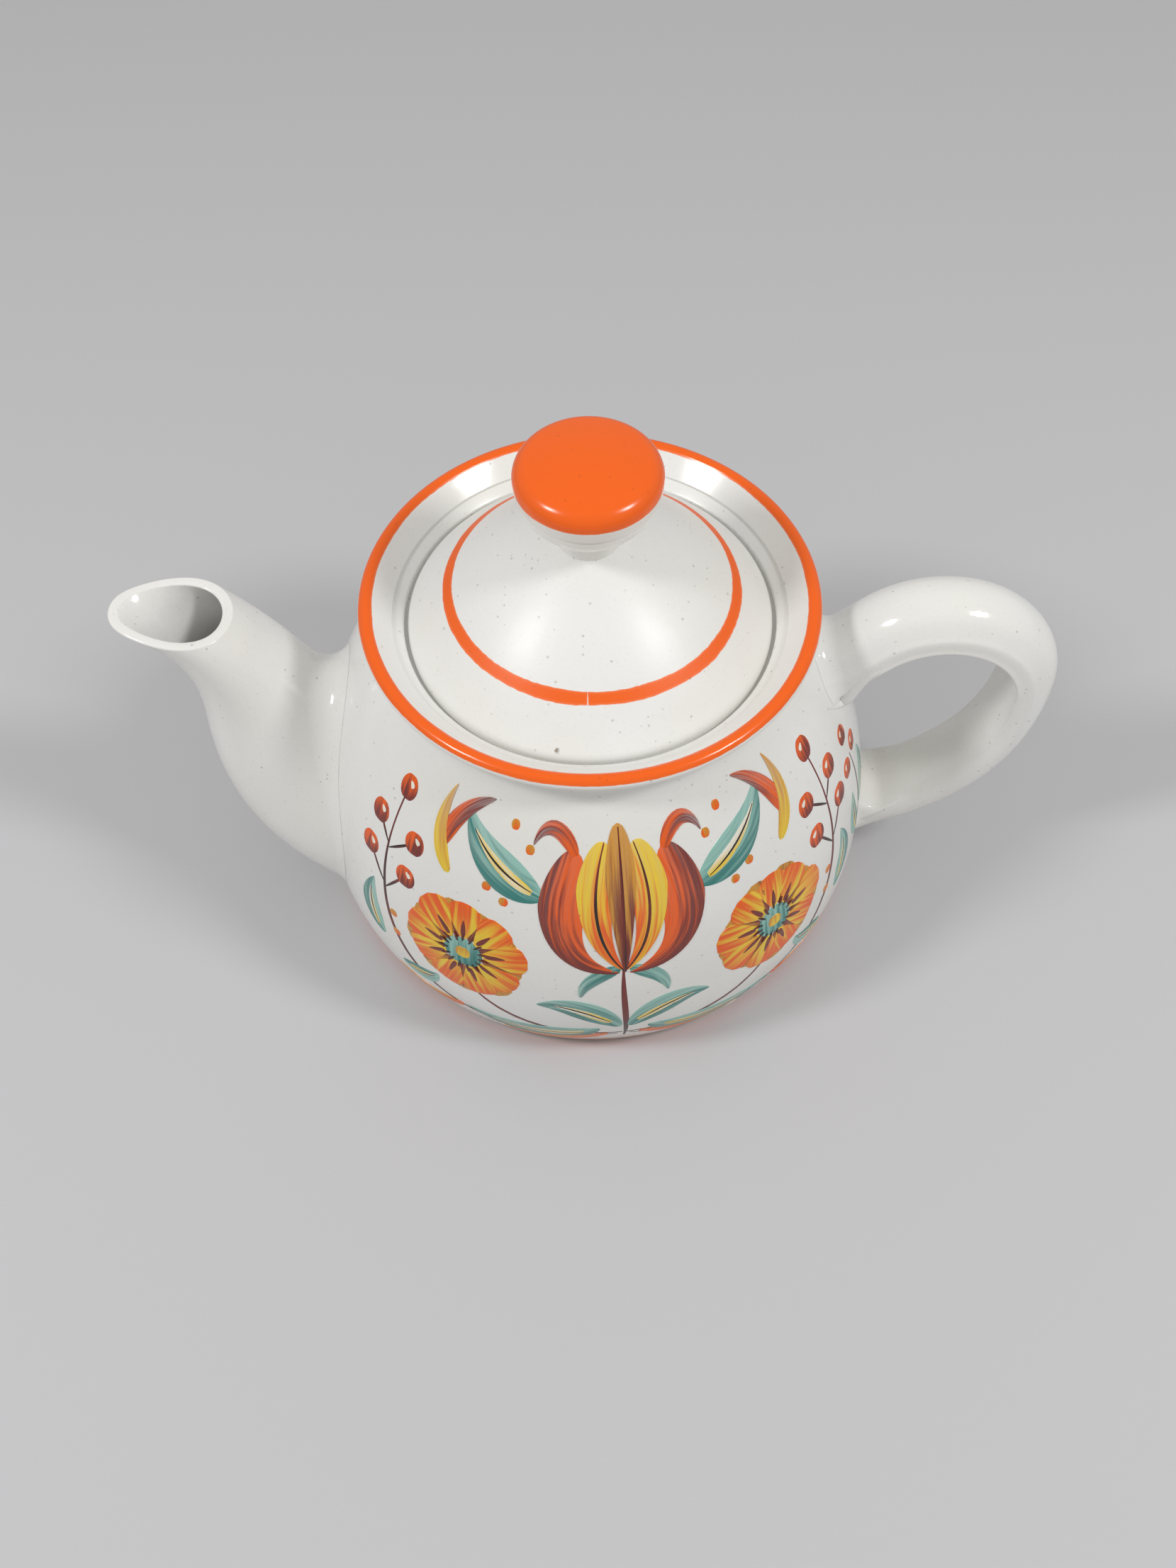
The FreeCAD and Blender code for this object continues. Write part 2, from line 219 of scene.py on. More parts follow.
def makeGlazeSkin():
    tree, entry, leave, _ = newTree(
        "glazeSkin", "ShaderNodeTree",
        {"Place": "Vector", "Glaze": "Color", "Speck Share": "Float", "Satin": "Float"},
        {"Color": "Color", "Roughness": "Float", "Height": "Float", "Speck": "Float"},
    )
    place = entry["Place"]
    drift = noise(tree, place, *skinLook["drift"])
    grain = noise(tree, place, *skinLook["grain"])
    warm = mixColour(tree, 1.0, entry["Glaze"], skinLook["warmTint"], "MULTIPLY")
    skin = mixColour(tree, ramp(tree, drift, *skinLook["driftOver"]), entry["Glaze"], warm)
    skin = mixColour(tree, ramp(tree, grain, *skinLook["grainOver"]), skin, skinLook["grainTint"])

    def specks(scale, share, radius):
        cells = wire(tree, "ShaderNodeTexVoronoi", {"Vector": place, "Scale": scale})
        chance = wire(tree, "ShaderNodeSeparateColor", {"Color": cells["Color"]})
        limit = minus(tree, 1.0, maths(tree, "MULTIPLY", share, entry["Speck Share"]))
        chosen = maths(tree, "GREATER_THAN", chance[0], limit)
        reach = maths(tree, "MULTIPLY_ADD", chance[1], radius, radius * skinLook["leastSpeck"])
        inside = minus(tree, 1.0, maths(tree, "DIVIDE", cells["Distance"], reach))
        return maths(tree, "MULTIPLY", chosen, ramp(tree, inside, *skinLook["speckEdge"]))

    fine = specks(*skinLook["fineSpecks"])
    iron = specks(*skinLook["ironSpecks"])
    for mask, (strength, shade) in ((fine, skinLook["fineTint"]), (iron, skinLook["ironTint"])):
        skin = tint(tree, mask, strength, skin, shade)
    ripple = noise(tree, place, *skinLook["ripple"])
    feed(tree, leave["Color"], skin)
    rough = maths(tree, "MULTIPLY_ADD", drift, skinLook["unevenGloss"], entry["Satin"])
    feed(tree, leave["Roughness"], rough)
    feed(tree, leave["Height"], maths(tree, "MULTIPLY_ADD", iron, skinLook["ironPit"], ripple))
    feed(tree, leave["Speck"], maths(tree, "MAXIMUM", fine, iron))
    return tree


edgeLook = {
    "slow": (60, 2),
    "fine": (620, 2),
    "fineShare": 0.4,
    "maskOver": (-0.5, 0.5),                   # both ramps count in softnesses from the edge
    "thinOver": (0.4, 3.0, 1.0, 0.0),
}


def makeBandEdge():
    # a hand-held brush on a turning wheel: the edge wanders a little and thins to a soft rim
    tree, entry, leave, _ = newTree(
        "bandEdge", "ShaderNodeTree",
        {"Place": "Vector", "Inside": "Float", "Wander": "Float", "Softness": "Float"},
        {"Mask": "Float", "Thin Rim": "Float"},
    )
    slow = sway(tree, entry["Place"], *edgeLook["slow"])
    fine = sway(tree, entry["Place"], *edgeLook["fine"])
    shake = maths(tree, "MULTIPLY_ADD", fine, edgeLook["fineShare"], slow)
    edge = maths(tree, "MULTIPLY_ADD", shake, entry["Wander"], entry["Inside"])
    share = maths(tree, "DIVIDE", edge, entry["Softness"])
    feed(tree, leave["Mask"], ramp(tree, share, *edgeLook["maskOver"]))
    feed(tree, leave["Thin Rim"], ramp(tree, share, *edgeLook["thinOver"]))
    return tree


streakLook = {
    "coarse": (0.035, 0.8, 3),                 # stretch along the stroke, fineness across it, detail
    "fine": (0.06, 2.6, 2),
    "roughness": 0.6,
    "contrast": (0.3, 0.7),
    "seedStep": 7.3,
}


def makeBristleStreaks():
    tree, entry, leave, _ = newTree(
        "bristleStreaks", "ShaderNodeTree",
        {"Along": "Float", "Across": "Float", "Seed": "Float", "Fineness": "Float"},
        {"Streak": "Float", "Fine Streak": "Float"},
    )

    def streak(stretch, fineness, detail):
        spread = maths(tree, "MULTIPLY", entry["Fineness"], fineness)
        place = combine(tree, maths(tree, "MULTIPLY", entry["Along"], stretch),
                        maths(tree, "MULTIPLY", entry["Across"], spread),
                        maths(tree, "MULTIPLY", entry["Seed"], streakLook["seedStep"]))
        bristles = noise(tree, place, 1.0, detail, streakLook["roughness"])
        return ramp(tree, bristles, *streakLook["contrast"])

    feed(tree, leave["Streak"], streak(*streakLook["coarse"]))
    feed(tree, leave["Fine Streak"], streak(*streakLook["fine"]))
    return tree


glazeSkin = makeGlazeSkin()
bandEdge = makeBandEdge()
bristleStreaks = makeBristleStreaks()


def turnedPlaces(tree, shift=(0.0, 0.0, 0.0)):
    # the place itself, distance from the pot's axis, and height, all on the piece's own coordinates
    place = ownPlace(tree)
    across, along, height = separate(tree, vectorMaths(tree, "SUBTRACT", place, shift))
    return place, measure(tree, "LENGTH", combine(tree, across, along)), height


glazeFinish = {"speckShare": 1.0, "bump": 0.035, "bumpDistance": 0.5 * mm, "ior": 1.5, "satin": 0.10}
brushedBand = {
    "seed": 0.3,
    "fineness": 1.4,
    "flameShare": 0.3,
    "thinTint": (0.16, (0.95, 0.42, 0.22, 1)),
    "speckTint": (0.25, (0.35, 0.05, 0.01, 1)),
    "duller": 0.05,
    "turnNoise": (9, 1),
    "turnLength": 260,
}


def glazed(tree, shader, place, bands, satin=glazeFinish["satin"]):
    # each band is (distance inside its edge, run along the brush, wander, softness): it is orange inside
    skin = wire(tree, "ShaderNodeGroup", {
        "Place": place, "Glaze": colours["glaze"], "Speck Share": glazeFinish["speckShare"], "Satin": satin,
    }, node_tree=glazeSkin)
    colour = skin["Color"]
    rough = skin["Roughness"]
    for inside, along, wander, softness in bands:
        edge = wire(tree, "ShaderNodeGroup", {
            "Place": place, "Inside": inside, "Wander": wander, "Softness": softness,
        }, node_tree=bandEdge)
        streaks = wire(tree, "ShaderNodeGroup", {
            "Along": along, "Across": maths(tree, "MULTIPLY", inside, 1 / mm),
            "Seed": brushedBand["seed"], "Fineness": brushedBand["fineness"],
        }, node_tree=bristleStreaks)
        paint = tint(tree, streaks["Streak"], brushedBand["flameShare"], colours["orange"], colours["flame"])
        for mask, (strength, shade) in ((edge["Thin Rim"], brushedBand["thinTint"]),
                                        (skin["Speck"], brushedBand["speckTint"])):
            paint = tint(tree, mask, strength, paint, shade)
        colour = mixColour(tree, edge["Mask"], colour, paint)
        rough = maths(tree, "MULTIPLY_ADD", edge["Mask"], brushedBand["duller"], rough)
    addBump(tree, shader, skin["Height"], glazeFinish["bump"], glazeFinish["bumpDistance"])
    feed(tree, shader.inputs["Base Color"], colour)
    feed(tree, shader.inputs["Roughness"], rough)
    feed(tree, shader.inputs["IOR"], glazeFinish["ior"])
    return colour, rough


def wheelTurn(tree, place):
    # slow coordinate round the wheel, with no seam: the streaks of a band run along it
    return maths(tree, "MULTIPLY", noise(tree, place, *brushedBand["turnNoise"]), brushedBand["turnLength"])


potBands = {
    "lipInner": 51.6 * mm,
    "lipLow": 99.75 * mm,
    "footTop": 3.0 * mm,
    "footOutside": 60 * mm,
    "wander": 0.5 * mm,
    "softness": 0.16 * mm,
    "bareBelow": 0.55 * mm,                    # the ring that stands on the table is wiped clean of glaze
    "bareFade": 1.6,
    "bareDuller": 0.6,
    "grit": (900, 3),
    "gritOver": (0.3, 0.8, 0, 0.5),
}


def makePotGlaze():
    material, tree, shader = newMaterial("potGlaze")
    place, radius, height = turnedPlaces(tree)
    lip = least(tree, minus(tree, height, potBands["lipLow"]), minus(tree, radius, potBands["lipInner"]))
    foot = least(tree, minus(tree, potBands["footTop"], height), minus(tree, radius, potBands["footOutside"]))
    brushed = (wheelTurn(tree, place), potBands["wander"], potBands["softness"])
    colour, rough = glazed(tree, shader, place, [(lip, *brushed), (foot, *brushed)])
    bare = ramp(tree, height, potBands["bareBelow"], potBands["bareBelow"] * potBands["bareFade"], 1.0, 0.0)
    grit = ramp(tree, noise(tree, place, *potBands["grit"]), *potBands["gritOver"])
    clay = mixColour(tree, grit, colours["clay"], colours["grit"])
    feed(tree, shader.inputs["Base Color"], mixColour(tree, bare, colour, clay))
    feed(tree, shader.inputs["Roughness"], maths(tree, "MULTIPLY_ADD", bare, potBands["bareDuller"], rough))
    return material


lidBand = {
    "inner": 32.9 * mm,
    "outer": 35.2 * mm,
    "shift": (0.6 * mm, 0.0, 0.0),             # the painted ring isn't quite centred
    "aboveOnly": 102 * mm,
    "wander": 0.7 * mm,
    "softness": 0.18 * mm,
    "satin": 0.34,
    "nick": (-0.9 * mm, 0.05 * mm),            # where the brush lifted: sideways place, half width
    "spot": (-8.1 * mm, -41.7 * mm, 95.7 * mm),          # one iron spot near the front edge
    "spotRadius": 0.95 * mm,
    "spotCore": 0.3,
    "spotStrength": 0.85,
    "spotNoise": (1100, 3),
    "spotRagged": 1.6 * mm,
}


def makeLidGlaze():
    material, tree, shader = newMaterial("lidGlaze")
    place, radius, height = turnedPlaces(tree, lidBand["shift"])
    across, along, _ = separate(tree, place)
    nickPlace, nickWidth = lidBand["nick"]
    sideways = maths(tree, "ABSOLUTE", minus(tree, across, nickPlace))
    clear = maths(tree, "MAXIMUM", minus(tree, sideways, nickWidth), along)
    ring = least(tree, minus(tree, radius, lidBand["inner"]), minus(tree, lidBand["outer"], radius),
                 minus(tree, height, lidBand["aboveOnly"]), clear)
    band = (ring, wheelTurn(tree, place), lidBand["wander"], lidBand["softness"])
    colour, _ = glazed(tree, shader, place, [band], lidBand["satin"])
    ragged = maths(tree, "MULTIPLY", sway(tree, place, *lidBand["spotNoise"]), lidBand["spotRagged"])
    reach = maths(tree, "ADD", measure(tree, "DISTANCE", place, lidBand["spot"]), ragged)
    core = lidBand["spotRadius"] * lidBand["spotCore"]
    spot = ramp(tree, reach, core, lidBand["spotRadius"], lidBand["spotStrength"], 0.0)
    feed(tree, shader.inputs["Base Color"], mixColour(tree, spot, colour, colours["ironSpot"]))
    return material


knobBand = {"capFrom": 139.6 * mm, "wander": 0.7 * mm, "softness": 0.2 * mm, "satin": 0.12}


def makeKnobGlaze():
    material, tree, shader = newMaterial("knobGlaze")
    place, _, height = turnedPlaces(tree)
    cap = minus(tree, height, knobBand["capFrom"])
    band = (cap, wheelTurn(tree, place), knobBand["wander"], knobBand["softness"])
    glazed(tree, shader, place, [band], knobBand["satin"])
    return material


def makeWhiteGlaze():
    material, tree, shader = newMaterial("whiteGlaze")
    glazed(tree, shader, ownPlace(tree), [])
    return material


paintLook = {
    "fineness": 1.0,
    "pull": (0.7, -0.35),                      # how far the streaks drag one colour into the other
    "blendOver": (0.1, 0.9),
    "streakTint": (0.13, (0.02, 0.015, 0.01, 1)),
    "bump": 0.06,
    "bumpDistance": 0.2 * mm,
    "roughness": (0.12, 0.2),
    "ior": 1.48,
}


def makeBrushPaint():
    material, tree, shader = newMaterial("brushPaint")

    def read(name, output):
        return addNode(tree, "ShaderNodeAttribute", attribute_name=name).outputs[output]

    along, across, seed = separate(tree, read("strokePlace", "Vector"))
    streaks = wire(tree, "ShaderNodeGroup", {
        "Along": along, "Across": across, "Seed": seed, "Fineness": paintLook["fineness"],
    }, node_tree=bristleStreaks)
    streak, fine = streaks["Streak"], streaks["Fine Streak"]
    pull = maths(tree, "MULTIPLY_ADD", streak, *paintLook["pull"])
    share = ramp(tree, maths(tree, "ADD", read("blendAt", "Fac"), pull), *paintLook["blendOver"])
    colour = mixColour(tree, share, read("paintA", "Color"), read("paintB", "Color"))
    strength, shade = paintLook["streakTint"]
    colour = tint(tree, fine, strength, colour, shade)
    dry = maths(tree, "MULTIPLY", read("dryness", "Fac"), fine)
    feed(tree, shader.inputs["Base Color"], mixColour(tree, dry, colour, colours["glaze"]))
    feed(tree, shader.inputs["Roughness"], maths(tree, "MULTIPLY_ADD", streak, *paintLook["roughness"]))
    feed(tree, shader.inputs["IOR"], paintLook["ior"])
    addBump(tree, shader, fine, paintLook["bump"], paintLook["bumpDistance"])
    return material


potGlaze = makePotGlaze()
lidGlaze = makeLidGlaze()
knobGlaze = makeKnobGlaze()
whiteGlaze = makeWhiteGlaze()
brushPaint = makeBrushPaint()
print("glazes and paint mixed")


# Ceramic pieces, each one standing for its CAD node

ceramicMesh = {"weld": 0.002 * mm, "sharpFrom": math.radians(32)}

# The loop's section is a D at the top, with a thin ridge along its inner edges, and an oval lower down.
# Pairs of places in the plane of the loop are (distance from the pot's axis, height).
handleForm = {
    "backPlace": (109.6 * mm, 69.73 * mm),     # centre line at the back
    "topBend": (24.2 * mm, math.radians(132.5)),         # radius of the centre line, and how far it turns
    "lowBend": (53.97 * mm, math.radians(-55.5)),
    "topRoot": (80 * mm, 55 * mm),             # nearer than this and higher than this is the upper limb
    "innerCorner": (10.06 * mm, -4.44 * mm),   # of the section: sideways, outwards
    "ridge": 0.55 * mm,
    "ridgeReach": 0.6 * mm,
    "ovalMiddle": -0.6 * mm,
    "ovalSize": (10.35 * mm, 5.5 * mm),
    "ovalPower": 2.3,
    "softensOver": (math.radians(12), math.radians(-38)),
    "rootOver": (74 * mm, 84 * mm),
    "cutStep": 1.1 * mm,
    "cutsAcross": 18,
    "cutsAlong": 32,
}


def softStep(low, high, value):
    share = min(1.0, max(0.0, (value - low) / (high - low)))
    return share * share * (3 - 2 * share)


def onLoop(reach, height):
    # which way is out from the loop's centre line, how far out the point is, and how far round it is
    backReach, backHeight = handleForm["backPlace"]
    rootReach, rootHeight = handleForm["topRoot"]
    isLow = height < backHeight and not (reach < rootReach and height > rootHeight)
    bend, limit = handleForm["lowBend" if isLow else "topBend"]
    away = Vector((reach - backReach + bend, height - backHeight))
    turn = math.atan2(away.y, away.x)
    if turn / limit > 1 or turn / limit < 0:
        turn = limit
    outward = Vector((math.cos(turn), math.sin(turn)))
    return outward, away.dot(outward) - bend, turn


def shapeHandle(work):
    step = handleForm["cutStep"]
    middle = (handleForm["cutsAcross"] - 1) / 2
    first = handleForm["rootOver"][0]
    planes = [((0, (cut - middle) * step, 0), (0, 1, 0)) for cut in range(handleForm["cutsAcross"])]
    planes += [((first + cut * step, 0, 0), (1, 0, 0)) for cut in range(handleForm["cutsAlong"])]
    for place, facing in planes:
        everything = work.verts[:] + work.edges[:] + work.faces[:]
        bmesh.ops.bisect_plane(work, geom=everything, plane_co=place, plane_no=facing,
                               dist=ceramicMesh["weld"])
    halfWidth, halfDepth = handleForm["ovalSize"]
    power = handleForm["ovalPower"]
    slant = math.sqrt(0.5)
    for vert in work.verts:
        outward, depth, turn = onLoop(vert.co.x, vert.co.z)
        soft = softStep(*handleForm["softensOver"], turn) * softStep(*handleForm["rootOver"], vert.co.x)
        side, newSide, newDepth = vert.co.y, vert.co.y, depth
        if soft > 0:
            spoke = Vector((side, depth - handleForm["ovalMiddle"]))
            form = abs(spoke.x / halfWidth) ** power + abs(spoke.y / halfDepth) ** power
            spoke *= 1 + soft * (form ** (-1 / power) - 1)
            newSide, newDepth = spoke.x, spoke.y + handleForm["ovalMiddle"]
        apart = Vector((abs(side), depth)) - Vector(handleForm["innerCorner"])
        ridge = handleForm["ridge"] * (1 - soft) * math.exp(-(apart.length / handleForm["ridgeReach"]) ** 2)
        newSide += math.copysign(ridge, side) * slant
        newDepth -= ridge * slant
        shift = outward * (newDepth - depth)
        vert.co = (vert.co.x + shift.x, newSide, vert.co.z + shift.y)


# The pouring lip is thickened inwards to a soft white edge, and its beak is rounded
spoutLip = {
    "boreLow": (-89.5 * mm, 84 * mm),          # two points of the bore's middle: place along x, height
    "boreHigh": (-101 * mm, 101 * mm),
    "thickenBy": 0.9 * mm,
    "over": (88 * mm, 98 * mm),                # from the wall as it is to the full lip, in height
    "wallFacing": 0.8,                         # faces turned this far to the bore move the whole way
    "beakAt": -114.6 * mm,
    "beakSpread": 0.5,                         # how much wider the beak gets at its very tip
    "beakLength": 5.0 * mm,
}


def shapeSpout(work):
    work.normal_update()
    lowReach, lowHeight = spoutLip["boreLow"]
    highReach, highHeight = spoutLip["boreHigh"]
    for vert in work.verts:
        swell = softStep(*spoutLip["over"], vert.co.z)
        if swell > 0:
            share = (vert.co.z - lowHeight) / (highHeight - lowHeight)
            boreReach = lowReach + share * (highReach - lowReach)
            inward = Vector((boreReach - vert.co.x, -vert.co.y, 0)).normalized()
            inside = softStep(0, spoutLip["wallFacing"], vert.normal.dot(inward))
            vert.co += inward * spoutLip["thickenBy"] * swell * inside
            fromTip = (vert.co.x - spoutLip["beakAt"]) / spoutLip["beakLength"]
            vert.co.y *= 1 + swell * spoutLip["beakSpread"] * math.exp(-fromTip)


ceramics = {
    "potShell": {"node": "pot_body", "body": "pot", "slot": "white_glaze", "finish": potGlaze},
    "spoutTube": {
        "node": "spout", "body": "pot", "slot": "white_glaze", "finish": whiteGlaze, "shape": shapeSpout,
    },
    "handleLoop": {
        "node": "handle", "body": "pot", "slot": "white_glaze", "finish": whiteGlaze, "shape": shapeHandle,
    },
    "lidDome": {"node": "lid", "body": "lid", "slot": "white_glaze", "finish": lidGlaze},
    "knobTop": {"node": "knob", "body": "lid", "slot": "orange_glaze", "finish": knobGlaze},
}


def smoothCopy(name, node, finish, shape=None):
    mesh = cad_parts[node].data.copy()
    mesh.name = name
    work = bmesh.new()
    work.from_mesh(mesh)
    bmesh.ops.remove_doubles(work, verts=work.verts, dist=ceramicMesh["weld"])
    if shape:
        shape(work)
    for face in work.faces:
        face.smooth = True
        face.material_index = 0
    for edge in work.edges:
        edge.smooth = edge.calc_face_angle(math.pi) < ceramicMesh["sharpFrom"]
    work.to_mesh(mesh)
    work.free()
    mesh.materials.clear()
    mesh.materials.append(finish)
    piece = bpy.data.objects.new(name, mesh)
    scene.collection.objects.link(piece)
    normals = piece.modifiers.new("evenGloss", "WEIGHTED_NORMAL")
    normals.keep_sharp = True
    return piece


pieces = {}
for name, plan in ceramics.items():
    pieces[name] = smoothCopy(name, plan["node"], plan["finish"], plan.get("shape"))
    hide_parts(plan["node"])
    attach(pieces[name], plan["body"])
print("ceramic pieces:", ", ".join(pieces))


# A bead of slip, squeezed out at the handle's upper root and left as it ran
slipCurl = {
    "run": [                                   # places along the bead and its radius there, in millimetres
        ((74.5, -9.3, 87.6), 0.25),
        ((70.4, -9.7, 83.9), 0.7),
        ((66.2, -9.5, 79.4), 1.4),
        ((63.9, -9.2, 75.2), 2.0),
        ((62.6, -9.2, 71.9), 2.1),
        ((60.7, -10.4, 70.6), 1.2),
        ((58.9, -14.0, 73.4), 0.5),
        ((57.0, -16.5, 77.0), 0.25),
    ],
    "sides": 5,
    "steps": 10,
    "order": 3,
}


def makeSlipCurl():
    line = bpy.data.curves.new("slipLine", "CURVE")
    line.dimensions = "3D"
    line.bevel_depth = mm
    line.bevel_resolution = slipCurl["sides"]
    line.resolution_u = slipCurl["steps"]
    line.use_fill_caps = True
    spline = line.splines.new("NURBS")
    spline.points.add(len(slipCurl["run"]) - 1)
    spline.use_endpoint_u = True
    spline.order_u = slipCurl["order"]
    for point, (place, radius) in zip(spline.points, slipCurl["run"]):
        point.co = tuple(part * mm for part in place) + (1.0,)
        point.radius = radius
    drawn = bpy.data.objects.new("slipLine", line)
    scene.collection.objects.link(drawn)
    graph = bpy.context.evaluated_depsgraph_get()
    mesh = bpy.data.meshes.new_from_object(drawn.evaluated_get(graph), depsgraph=graph)
    bpy.data.objects.remove(drawn)
    mesh.name = "slipCurl"
    mesh.shade_smooth()
    mesh.materials.clear()
    mesh.materials.append(whiteGlaze)
    piece = bpy.data.objects.new("slipCurl", mesh)
    scene.collection.objects.link(piece)
    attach(piece, "pot")
    print("slip curl with", len(mesh.polygons), "faces")


makeSlipCurl()


# Hand-painted bouquets: drawn flat, then laid on the belly. Paths and widths are in millimetres.

paintPlan = {
    "unrollRadius": 71 * mm,                   # sideways sizes on the sheet are true at the belly
    "startReach": 95 * mm,
    "towardsHandle": 0.1,                      # the bouquets sit a little nearer to the handle, in radians
    "rise": 0.02 * mm,                         # a stroke is this much thicker along its middle
    "domePower": 4,
    "layerStep": 0.016 * mm,
    "sink": 0.05 * mm,
    "rowLength": 1.5,                          # a stroke gets a row of points for each of these
    "fewestRows": 10,
    "sides": (-1, -0.985, -0.8, -0.45, 0, 0.45, 0.8, 0.985, 1),
    "lookAhead": 0.01,
    "crispFrom": math.radians(25),
    "shake": 0.25,                             # how far the hand strays
    "seeds": 50,
    "dryPower": 1.5,
}
commaForm = {"head": 0.3, "tail": 0.7, "taper": 1.57, "power": 0.8}
petalForm = {"base": 0.68, "tip": 0.32, "power": 0.8}
leafForm = {"lean": 0.85, "power": 0.85}
lineForm = {"least": 0.25, "power": 0.6}


def commaWidth(share):
    if share < commaForm["head"]:
        return math.sqrt(1 - (1 - share / commaForm["head"]) ** 2)
    turn = (share - commaForm["head"]) / commaForm["tail"] * commaForm["taper"]
    return math.cos(turn) ** commaForm["power"]


def petalWidth(share):
    if share < petalForm["base"]:
        return (share / petalForm["base"]) ** petalForm["power"]
    return math.sqrt(max(0.0, 1 - ((share - petalForm["base"]) / petalForm["tip"]) ** 2))


def leafWidth(share):
    return math.sin(math.pi * share ** leafForm["lean"]) ** leafForm["power"]


def lineWidth(share):
    return max(lineForm["least"], math.sin(math.pi * share)) ** lineForm["power"]


def dotWidth(share):
    return math.sqrt(max(0.0, 1 - (2 * share - 1) ** 2))


def stroke(layer, form, width=None, load=("ink", "maroon"), across=0.0, along=0.6, dry=0.0):
    # half width, the two colours on the brush, how they change across and along it, and how dry it runs out
    return {"layer": layer, "form": form, "width": width, "load": load, "across": across, "along": along,
            "dry": dry}


strokes = {
    "stem": stroke(0, lineWidth, 0.8),
    "rosetteStem": stroke(0, lineWidth, 0.7),
    "sprigStem": stroke(0, lineWidth, 0.65),
    "handleStem": stroke(0, lineWidth, 0.45),
    "stalk": stroke(1, lineWidth, 0.4),
    "filler": stroke(1, dotWidth, load=("flame", "ochre"), across=0.3, along=0.5),
    "berry": stroke(2, dotWidth, load=("maroon", "flame"), across=0.3, along=0.9),
    "shine": stroke(3, commaWidth, load=("cream", "cream")),
    "leaf": stroke(4, leafWidth, load=("tealDark", "tealLight"), across=0.9, along=0.1, dry=0.25),
    "leafVein": stroke(5, commaWidth, load=("yellow", "cream"), across=0.2, along=0.4, dry=0.2),
    "leafInk": stroke(6, lineWidth, 0.3, ("ink", "ink")),
    "comma": stroke(7, commaWidth, across=0.4, along=0.6, dry=0.4),
    "calyx": stroke(5, commaWidth, 2.2, ("tealDark", "tealLight"), across=0.5, along=0.3, dry=0.3),
    "tulipSide": stroke(6, petalWidth, 6.2, ("maroon", "flame"), across=0.9, along=0.5, dry=0.1),
    "tulipCurl": stroke(7, commaWidth, 2.0, ("flame", "maroon"), along=0.8, dry=0.4),
    "tulipInner": stroke(8, petalWidth, 5.2, ("flame", "yellow"), across=-0.5, along=0.8, dry=0.15),
    "tulipInnerInk": stroke(10, lineWidth, 0.4),
    "tulipMiddle": stroke(11, petalWidth, 4.2, ("maroon", "ochre"), along=1.0, dry=0.1),
    "tulipMiddleInk": stroke(12, lineWidth, 0.45),
    "petalBack": stroke(1, petalWidth, load=("maroon", "ochre"), across=0.25, along=0.7),
    "petalFront": stroke(7, petalWidth, load=("yellow", "flame"), across=0.25, along=0.7),
    "petalVein": stroke(9, commaWidth, 0.7, ("maroon", "maroon"), across=0.25, along=0.7),
    "stamen": stroke(14, lineWidth, 0.32, across=0.25, along=0.7),
    "heart": stroke(12, dotWidth, load=("tealDark", "tealLight"), across=0.3, along=0.5),
    "heartMiddle": stroke(16, dotWidth, load=("yellow", "ochre"), across=0.3, along=0.5),
}
strokeMarks = {
    "paintA": ("FLOAT_COLOR", "color"),
    "paintB": ("FLOAT_COLOR", "color"),
    "strokePlace": ("FLOAT_VECTOR", "vector"),
    "blendAt": ("FLOAT", "value"),
    "dryness": ("FLOAT", "value"),
}


def newSheet(seed):
    marks = {name: [] for name in strokeMarks}
    return {"dice": random.Random(seed), "points": [], "faces": [], "marks": marks}


def onPath(path, share):
    points = [Vector(point) for point in path]
    while len(points) > 1:
        points = [first.lerp(second, share) for first, second in zip(points, points[1:])]
    return points[0]


def mirrored(path, side):
    return [(side * across, height) for across, height in path]


